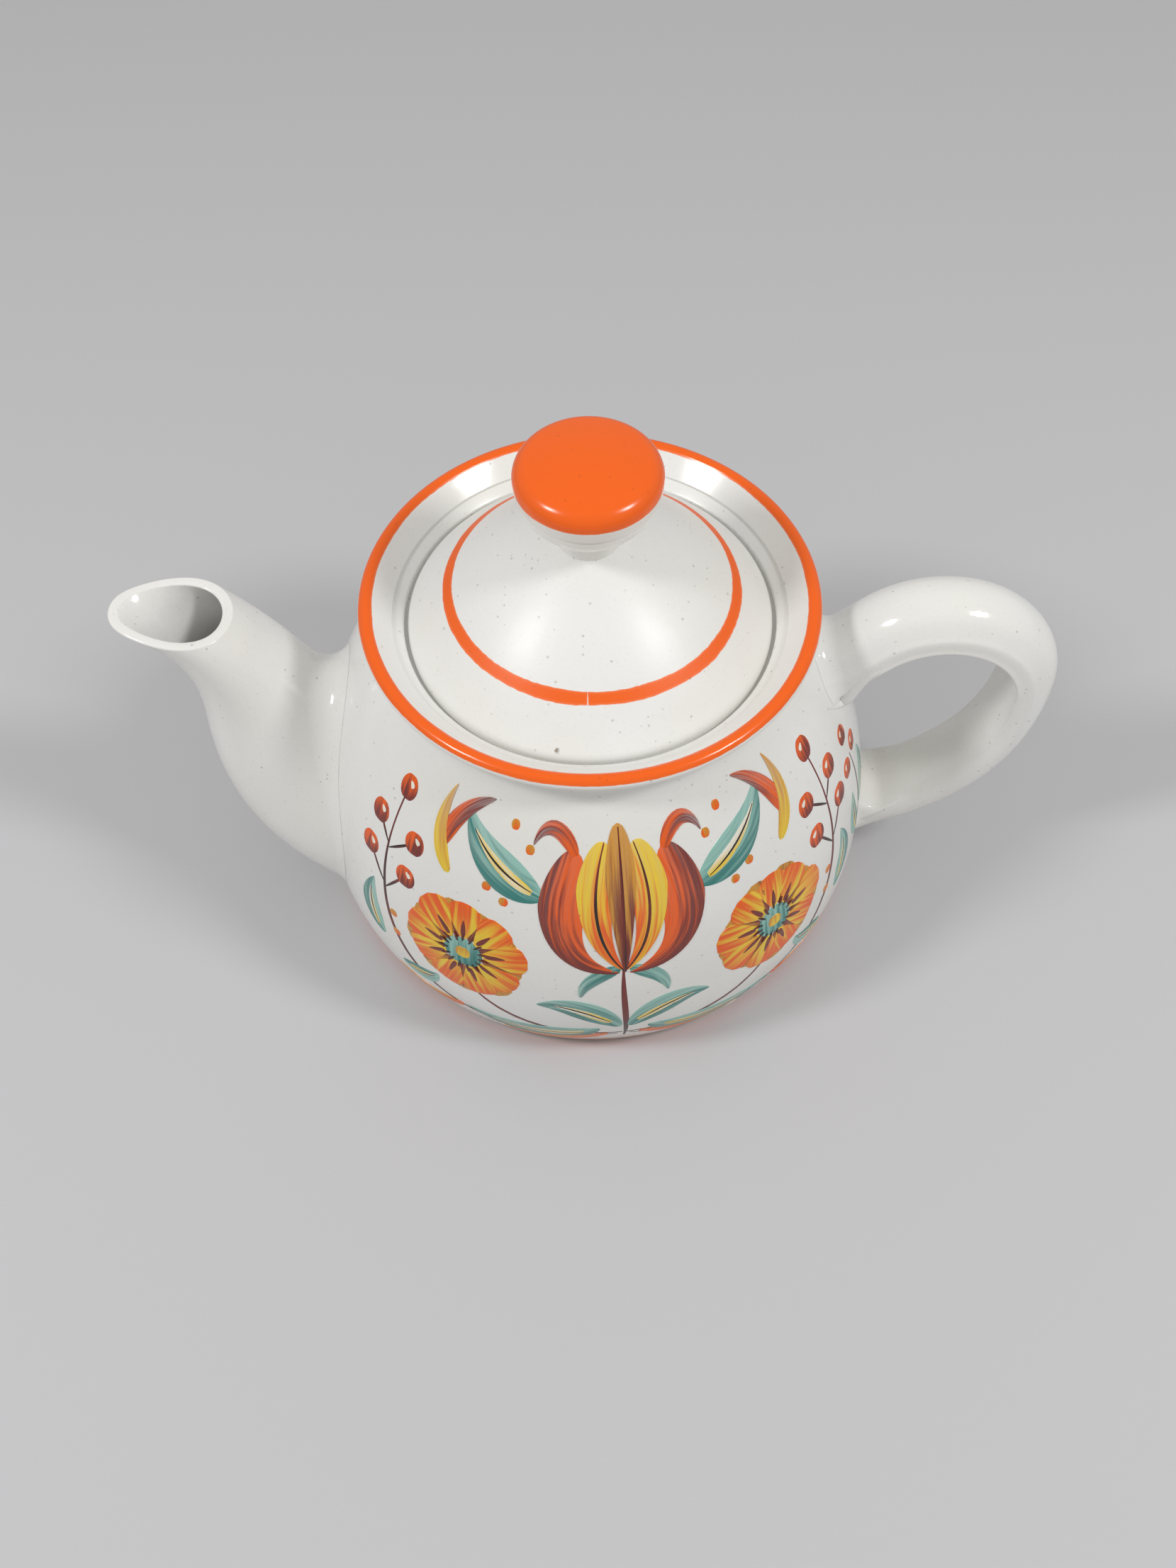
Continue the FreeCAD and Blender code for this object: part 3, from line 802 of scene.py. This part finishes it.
def brush(sheet, name, path, width=None, side=1, layersUp=0, load=None):
    # one closed stroke, with a sunk underside: side is -1 for a stroke on the left of the bouquet
    plan = strokes[name]
    width = width or plan["width"]
    paints = [colours[paint] for paint in load or plan["load"]]
    dice = sheet["dice"]
    columns = paintPlan["sides"]
    shake = paintPlan["shake"] if len(path) > 2 else 0.0
    path = [
        Vector(point) + Vector((dice.uniform(-shake, shake), dice.uniform(-shake, shake)))
        for point in path
    ]
    span = sum((second - first).length for first, second in zip(path, path[1:]))
    rows = max(paintPlan["fewestRows"], math.ceil(span / paintPlan["rowLength"]))
    seed = dice.uniform(0, paintPlan["seeds"])
    base = (plan["layer"] + layersUp + 1) * paintPlan["layerStep"]
    start = len(sheet["points"])

    def put(share, column):
        before = onPath(path, max(0.0, share - paintPlan["lookAhead"]))
        ahead = onPath(path, min(1.0, share + paintPlan["lookAhead"])) - before
        ahead.normalize()
        swell = plan["form"](share)
        place = onPath(path, share) + Vector((-ahead.y, ahead.x)) * width * swell * column
        lift = base + paintPlan["rise"] * (1 - column ** paintPlan["domePower"]) ** 0.5 * swell
        edge = abs(column) == 1 or share in (0.0, 1.0)
        sheet["points"].append((place.x * mm, -paintPlan["sink"] if edge else lift, place.y * mm))
        marks = sheet["marks"]
        marks["paintA"].extend(paints[0])
        marks["paintB"].extend(paints[1])
        marks["strokePlace"].extend((share * span, column * swell * width, seed))
        blend = plan["across"] * side * column + plan["along"] * (2 * share - 1)
        marks["blendAt"].append(0.5 + 0.5 * blend)
        marks["dryness"].append(plan["dry"] * share ** paintPlan["dryPower"])

    put(0.0, 0.0)
    for row in range(1, rows):
        # rows crowd a little towards both ends
        share = (1 - math.cos(math.pi * row / rows)) / 4 + row / rows / 2
        for column in columns:
            put(share, column)
    put(1.0, 0.0)
    end = len(sheet["points"]) - 1
    last = len(columns) - 1

    def at(row, column):
        return start + 1 + (row - 1) * len(columns) + column

    faces = sheet["faces"]
    for column in range(last):
        faces.append((start, at(1, column), at(1, column + 1)))
        faces.append((at(rows - 1, column), end, at(rows - 1, column + 1)))
        for row in range(1, rows - 1):
            faces.append((at(row, column), at(row + 1, column), at(row + 1, column + 1), at(row, column + 1)))
    faces.append((start, at(1, last), at(1, 0)))
    faces.append((at(rows - 1, 0), at(rows - 1, last), end))
    for row in range(1, rows - 1):
        faces.append((at(row, 0), at(row, last), at(row + 1, last), at(row + 1, 0)))


def dot(sheet, name, place, radius):
    brush(sheet, name, [(place[0], place[1] - radius), (place[0], place[1] + radius)], radius)


def sheetObject(sheet, name):
    mesh = bpy.data.meshes.new(name)
    mesh.from_pydata(sheet["points"], [], sheet["faces"])
    for label, (kind, field) in strokeMarks.items():
        mesh.attributes.new(label, kind, "POINT").data.foreach_set(field, sheet["marks"][label])
    mesh.shade_smooth()
    mesh.set_sharp_from_angle(angle=paintPlan["crispFrom"])
    mesh.materials.append(brushPaint)
    return bpy.data.objects.new(name, mesh)


def bakeNodes(piece, tree, keys, values):
    modifier = piece.modifiers.new(tree.name, "NODES")
    modifier.node_group = tree
    for label, value in values.items():
        modifier[keys[label]] = value
    scene.collection.objects.link(piece)
    graph = bpy.context.evaluated_depsgraph_get()
    shown = piece.evaluated_get(graph)
    mesh = bpy.data.meshes.new_from_object(shown, preserve_all_data_layers=True, depsgraph=graph)
    piece.modifiers.clear()
    piece.data = mesh
    mesh.name = piece.name
    return piece


petalPlan = {"turnJitter": 0.05, "sizeJitter": 0.05, "liftStep": 0.01 * mm, "seedStep": 3.7}


def makePetalRing():
    # copies of one petal round the flower's middle, each a little turned, sized and lifted by itself
    tree, entry, leave, keys = newTree(
        "petalRing", "GeometryNodeTree",
        {"Petal": "Geometry", "Petals": "Int", "First Turn": "Float", "Turn Jitter": "Float",
         "Size Jitter": "Float", "Lift Step": "Float", "Seed": "Int", "Paint": "Material"},
        {"Ring": "Geometry"},
    )
    index = addNode(tree, "GeometryNodeInputIndex").outputs[0]

    def jitter(amount, shift):
        node = addNode(tree, "FunctionNodeRandomValue", data_type="FLOAT")
        feed(tree, node.inputs[randomSockets["low"]], maths(tree, "MULTIPLY", amount, -1.0))
        feed(tree, node.inputs[randomSockets["high"]], amount)
        feed(tree, node.inputs["Seed"], maths(tree, "ADD", entry["Seed"], shift))
        return node.outputs[randomSockets["value"]]

    step = maths(tree, "DIVIDE", 2 * math.pi, entry["Petals"])
    turn = maths(tree, "MULTIPLY_ADD", index, step, entry["First Turn"])
    turn = maths(tree, "ADD", turn, jitter(entry["Turn Jitter"], 0))
    size = maths(tree, "ADD", 1.0, jitter(entry["Size Jitter"], 1))
    points = wire(tree, "GeometryNodePoints", {
        "Count": entry["Petals"],
        "Position": combine(tree, None, maths(tree, "MULTIPLY", index, entry["Lift Step"])),
    })
    copies = wire(tree, "GeometryNodeInstanceOnPoints", {
        "Points": points[0], "Instance": entry["Petal"], "Rotation": combine(tree, None, turn),
        "Scale": combine(tree, size, 1.0, size),
    })
    numbered = wire(tree, "GeometryNodeStoreNamedAttribute", {
        "Geometry": copies[0], "Name": "petalNumber", "Value": index,
    }, data_type="FLOAT", domain="INSTANCE")
    real = wire(tree, "GeometryNodeRealizeInstances", {"Geometry": numbered[0]})
    number = wire(tree, "GeometryNodeInputNamedAttribute", {"Name": "petalNumber"}, data_type="FLOAT")
    own = wire(tree, "GeometryNodeInputNamedAttribute", {"Name": "strokePlace"}, data_type="FLOAT_VECTOR")
    shift = combine(tree, None, None, maths(tree, "MULTIPLY", number[0], petalPlan["seedStep"]))
    seeded = wire(tree, "GeometryNodeStoreNamedAttribute", {
        "Geometry": real[0], "Name": "strokePlace", "Value": vectorMaths(tree, "ADD", own[0], shift),
    }, data_type="FLOAT_VECTOR", domain="POINT")
    painted = wire(tree, "GeometryNodeSetMaterial", {"Geometry": seeded[0], "Material": entry["Paint"]})
    feed(tree, leave[0], painted[0])
    return tree, keys


def makeBellyWrap():
    # a point of the flat sheet is (sideways, lift, height): it goes in level to the belly and lifts off it
    tree, entry, leave, keys = newTree(
        "bellyWrap", "GeometryNodeTree",
        {"Sheet": "Geometry", "Belly": "Object", "Unroll Radius": "Float", "Start Reach": "Float",
         "Turn": "Float", "Paint": "Material"},
        {"Painted": "Geometry"},
    )
    sideways, lift, height = separate(tree, addNode(tree, "GeometryNodeInputPosition").outputs[0])
    turn = maths(tree, "ADD", maths(tree, "DIVIDE", sideways, entry["Unroll Radius"]), entry["Turn"])
    nearer = maths(tree, "MULTIPLY", maths(tree, "COSINE", turn), -1.0)
    outward = combine(tree, maths(tree, "SINE", turn), nearer)
    away = vectorMaths(tree, "SCALE", outward, scale=entry["Start Reach"])
    belly = wire(tree, "GeometryNodeObjectInfo", {"Object": entry["Belly"]}, transform_space="RELATIVE")
    hit = wire(tree, "GeometryNodeRaycast", {
        "Target Geometry": belly["Geometry"],
        "Source Position": vectorMaths(tree, "ADD", away, combine(tree, None, None, height)),
        "Ray Direction": vectorMaths(tree, "SCALE", outward, scale=-1.0),
        "Ray Length": entry["Start Reach"],
    })
    raised = vectorMaths(tree, "SCALE", hit["Hit Normal"], scale=lift)
    laid = wire(tree, "GeometryNodeSetPosition", {
        "Geometry": entry["Sheet"], "Position": vectorMaths(tree, "ADD", hit["Hit Position"], raised),
    })
    real = wire(tree, "GeometryNodeRealizeInstances", {"Geometry": laid[0]})
    painted = wire(tree, "GeometryNodeSetMaterial", {"Geometry": real[0], "Material": entry["Paint"]})
    feed(tree, leave[0], painted[0])
    return tree, keys


petalRing, petalKeys = makePetalRing()
bellyWrap, wrapKeys = makeBellyWrap()


def ringOf(name, petal, count, ends, place, seed, width=None, firstTurn=0.0):
    sheet = newSheet(seed)
    brush(sheet, petal, [(0, end) for end in ends], width)
    ring = bakeNodes(sheetObject(sheet, name), petalRing, petalKeys, {
        "Petals": count, "First Turn": firstTurn, "Turn Jitter": petalPlan["turnJitter"],
        "Size Jitter": petalPlan["sizeJitter"], "Lift Step": petalPlan["liftStep"], "Seed": seed,
        "Paint": brushPaint,
    })
    ring.data.transform(Matrix.Translation((place[0] * mm, 0, place[1] * mm)))
    return ring


rosette = {
    "place": (41, 42),
    "petals": 9,
    "inner": 4.6,
    "outer": 17.2,
    "petalWidth": 5.2,
    "backShare": (0.97, 0.8),                  # reach and width of the back petals against the front ones
    "veinFrom": 1,
    "veinShare": 0.68,
    "stamens": 15,
    "stamenFrom": -0.6,
    "stamenTo": 2.6,
    "heartOver": 0.6,
    "heartMiddle": 0.45,
}


def paintRosette(name, side, seed):
    place = (side * rosette["place"][0], rosette["place"][1])
    petals, inner, outer, width = (rosette[key] for key in ("petals", "inner", "outer", "petalWidth"))
    backReach, backWidth = rosette["backShare"]
    vein = (inner + rosette["veinFrom"], outer * rosette["veinShare"])
    stamen = (inner + rosette["stamenFrom"], inner + rosette["stamenTo"])
    rings = [
        ringOf(name + "Back", "petalBack", petals, (inner, outer * backReach), place, seed,
               width * backWidth, math.pi / petals),
        # the veins have the front petals' seed, so each turns with its petal
        ringOf(name + "Front", "petalFront", petals, (inner, outer), place, seed + 1, width),
        ringOf(name + "Vein", "petalVein", petals, vein, place, seed + 1),
        ringOf(name + "Stamen", "stamen", rosette["stamens"], stamen, place, seed + 3),
    ]
    middle = newSheet(seed + 2)
    dot(middle, "heart", place, inner + rosette["heartOver"])
    dot(middle, "heartMiddle", place, inner * rosette["heartMiddle"])
    heart = sheetObject(middle, name + "Heart")
    scene.collection.objects.link(heart)
    return rings + [heart]


leafVein = {"shares": (0.12, 0.4, 0.6, 0.86), "width": 0.3}


def paintLeaf(sheet, path, width, side):
    # two-tone leaf with a pale vein
    path = mirrored(path, side)
    brush(sheet, "leaf", path, width, side)
    vein = [onPath(path, share) for share in leafVein["shares"]]
    brush(sheet, "leafVein", vein, width * leafVein["width"])
    brush(sheet, "leafInk", vein)


berryShine = {"back": 0.5, "low": 0.1, "high": 0.55, "width": 0.2}


def paintBerry(sheet, place, radius, side):
    across, height = side * place[0], place[1]
    dot(sheet, "berry", (across, height), radius)
    low = (across - side * radius * berryShine["back"], height + radius * berryShine["low"])
    brush(sheet, "shine", [low, (across, height + radius * berryShine["high"])], radius * berryShine["width"])


handleSprig = {
    "stem": [(84, 22), (88, 33), (89, 46), (86, 60)],
    "leaves": [
        ([(86, 29), (82, 34), (80, 41), (82, 49)], 3.2),
        ([(88, 37), (93, 40), (95, 47), (93, 55)], 3.2),
    ],
    "berries": [(82, 58), (90, 60), (85, 67)],
    "berryRadius": 2.8,
}


def paintHandleSprig(sheet, side):
    brush(sheet, "handleStem", mirrored(handleSprig["stem"], side))
    for path, width in handleSprig["leaves"]:
        paintLeaf(sheet, path, width, side)
    for berry in handleSprig["berries"]:
        paintBerry(sheet, berry, handleSprig["berryRadius"], side)


bouquet = {
    "tulipSide": [(1, 43), (17, 46), (19, 63), (12, 79)],
    "tulipInner": [(0, 44), (8, 54), (9, 69), (4, 81)],
    "tulipMiddle": [(0, 43), (0, 56), (0, 71), (0, 85)],
    "tulipCurl": [(12, 77), (15, 85), (22, 86), (24, 79)],
    "calyx": [(1, 45), (7, 43), (11, 39), (11, 33)],
    "stem": [(0, 8), (1, 20), (-1, 32), (0, 46)],
    "rosetteStem": [(0, 12), (13, 12), (30, 15), (41, 31)],
    "sprigStem": [(1, 11), (34, 2), (66, 14), (71, 44), (66, 77)],
    "leaves": [
        ([(6, 16), (16, 9), (30, 8), (42, 15)], 5.0),
        ([(1, 17), (6, 26), (14, 31), (22, 28)], 4.2),
        ([(67, 27), (72, 30), (74, 38), (71, 47)], 3.8),
        ([(20, 66), (28, 69), (39, 72), (45, 84)], 5.4),
        ([(62, 20), (56, 19), (51, 21), (49, 26)], 3.2),
    ],
    "berries": [(60, 56), (74, 57), (59, 67), (73, 68), (66, 79)],
    "berryRadius": 3.3,
    "stalksFrom": 0.72,                        # stalks leave the stem along this much of it, by berry height
    "stalksOver": 0.26,
    "lowestBerry": 52,
    "berryHeights": 26,
    "commas": [
        ([(4, 12), (12, 6.5), (24, 4.6), (34, 6)], 1.6, ("flame", "ochre")),
        ([(43, 14), (50, 9), (58, 9), (65, 15)], 2.1, ("flame", "ochre")),
        ([(51, 71), (50, 79), (45, 85), (37, 87)], 2.3, ("flame", "maroon")),
        ([(47, 65), (53, 72), (54, 80), (50, 87)], 2.1, ("yellow", "ochre")),
    ],
    "fillers": [(31, 63), (36, 66), (25, 78), (30, 83), (62, 33), (63, 40)],
    "fillerRadius": 1.3,
    "rosettes": (("Left", -1, 10), ("Right", 1, 20)),    # name, side, step of the seed
}


def paintHalf(sheet, side):
    for name in ("rosetteStem", "sprigStem"):
        brush(sheet, name, mirrored(bouquet[name], side))
    for path, width in bouquet["leaves"]:
        paintLeaf(sheet, path, width, side)
    for number, (path, width, load) in enumerate(bouquet["commas"]):
        brush(sheet, "comma", mirrored(path, side), width, side, number, load)
    for berry in bouquet["berries"]:
        higher = berry[1] - bouquet["lowestBerry"]
        share = bouquet["stalksFrom"] + bouquet["stalksOver"] * higher / bouquet["berryHeights"]
        brush(sheet, "stalk", mirrored([onPath(bouquet["sprigStem"], share), berry], side))
    for berry in bouquet["berries"]:
        paintBerry(sheet, berry, bouquet["berryRadius"], side)
    for filler in mirrored(bouquet["fillers"], side):
        dot(sheet, "filler", filler, bouquet["fillerRadius"])
    for name, layersUp in (("calyx", 0), ("tulipSide", 0), ("tulipCurl", 0), ("tulipInner", side)):
        brush(sheet, name, mirrored(bouquet[name], side), side=side, layersUp=layersUp)
    brush(sheet, "tulipInnerInk", mirrored(bouquet["tulipInner"], side))


def paintBouquet(name, seed, handleSide, turn):
    sheet = newSheet(seed)
    brush(sheet, "stem", bouquet["stem"])
    for side in (-1, 1):
        paintHalf(sheet, side)
    for stage in ("tulipMiddle", "tulipMiddleInk"):
        brush(sheet, stage, bouquet["tulipMiddle"])
    paintHandleSprig(sheet, handleSide)
    flat = sheetObject(sheet, name)
    scene.collection.objects.link(flat)
    flowers = []
    for label, side, seedStep in bouquet["rosettes"]:
        flowers += paintRosette(name + label, side, seed + seedStep)
    with bpy.context.temp_override(active_object=flat, selected_editable_objects=[flat] + flowers):
        bpy.ops.object.join()
    scene.collection.objects.unlink(flat)
    painted = bakeNodes(flat, bellyWrap, wrapKeys, {
        "Belly": pieces["potShell"], "Unroll Radius": paintPlan["unrollRadius"],
        "Start Reach": paintPlan["startReach"], "Turn": turn + handleSide * paintPlan["towardsHandle"],
        "Paint": brushPaint,
    })
    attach(painted, "pot")
    print(name, "painted with", len(painted.data.polygons), "faces")


bouquets = {
    "frontBouquet": {"seed": 5, "handleSide": 1, "turn": 0.0},
    "backBouquet": {"seed": 31, "handleSide": -1, "turn": math.pi},
}
for name, plan in bouquets.items():
    paintBouquet(name, **plan)


# Floor, light and camera

studio = {
    "floorSize": 40.0,
    "floorDrop": 0.2 * mm,                     # the floor's face and the foot ring's stay apart
    "floorColour": sRgb(196, 196, 198),
    "cloud": (3, 2),
    "cloudTint": (0.06, (0.5, 0.5, 0.5, 1)),
    "floorRoughness": 0.7,
    "worldColour": (1.0, 0.99, 0.98, 1.0),
    "worldStrength": 0.52,
    "lampSide": 0.56,
    "lampFront": 0.23,
    "lampHeight": 0.76,
    "lampSize": 0.18,
    "lampPower": 2.75,
    "aimHeight": 0.06,
}


def makeStudio():
    bpy.ops.mesh.primitive_plane_add(size=studio["floorSize"])
    floor = bpy.context.object
    floor.name = "floor"
    floor.data.transform(Matrix.Translation((0, 0, -studio["floorDrop"])))
    material, tree, shader = newMaterial("paleFloor")
    strength, shade = studio["cloudTint"]
    pale = tint(tree, noise(tree, ownPlace(tree), *studio["cloud"]), strength, studio["floorColour"], shade)
    feed(tree, shader.inputs["Base Color"], pale)
    feed(tree, shader.inputs["Roughness"], studio["floorRoughness"])
    floor.data.materials.append(material)
    world = bpy.data.worlds.new("softRoom")
    world.use_nodes = True
    sky = world.node_tree.nodes["Background"]
    sky.inputs["Color"].default_value = studio["worldColour"]
    sky.inputs["Strength"].default_value = studio["worldStrength"]
    scene.world = world
    aim = Vector((0, 0, studio["aimHeight"]))
    for side, label in ((-1, "lampLeft"), (1, "lampRight")):
        lamp = bpy.data.lights.new(label, "AREA")
        lamp.shape = "DISK"
        lamp.size = studio["lampSize"]
        lamp.energy = studio["lampPower"]
        holder = bpy.data.objects.new(label, lamp)
        holder.location = (side * studio["lampSide"], -studio["lampFront"], studio["lampHeight"])
        holder.rotation_euler = (aim - holder.location).to_track_quat("-Z", "Y").to_euler()
        scene.collection.objects.link(holder)


cameraPlan = {
    "place": (-1.1576 * mm, -298.9236 * mm, 443.4336 * mm),
    "tilt": 35.47,
    "roll": -0.957,
    "lens": 43.94,
    "sensor": 36.0,
    "nearest": 0.01,
}


def makeCamera():
    lens = bpy.data.cameras.new("photoView")
    lens.lens = cameraPlan["lens"]
    lens.sensor_width = cameraPlan["sensor"]
    lens.clip_start = cameraPlan["nearest"]
    holder = bpy.data.objects.new("photoView", lens)
    tilt = Matrix.Rotation(math.radians(cameraPlan["tilt"]), 4, "X")
    roll = Matrix.Rotation(math.radians(cameraPlan["roll"]), 4, "Z")
    holder.matrix_world = Matrix.Translation(Vector(cameraPlan["place"])) @ tilt @ roll
    scene.collection.objects.link(holder)
    scene.camera = holder
    scene.view_settings.view_transform = "Standard"


makeStudio()
makeCamera()
print("floor, lamps and camera set")

bpy.context.view_layer.update()
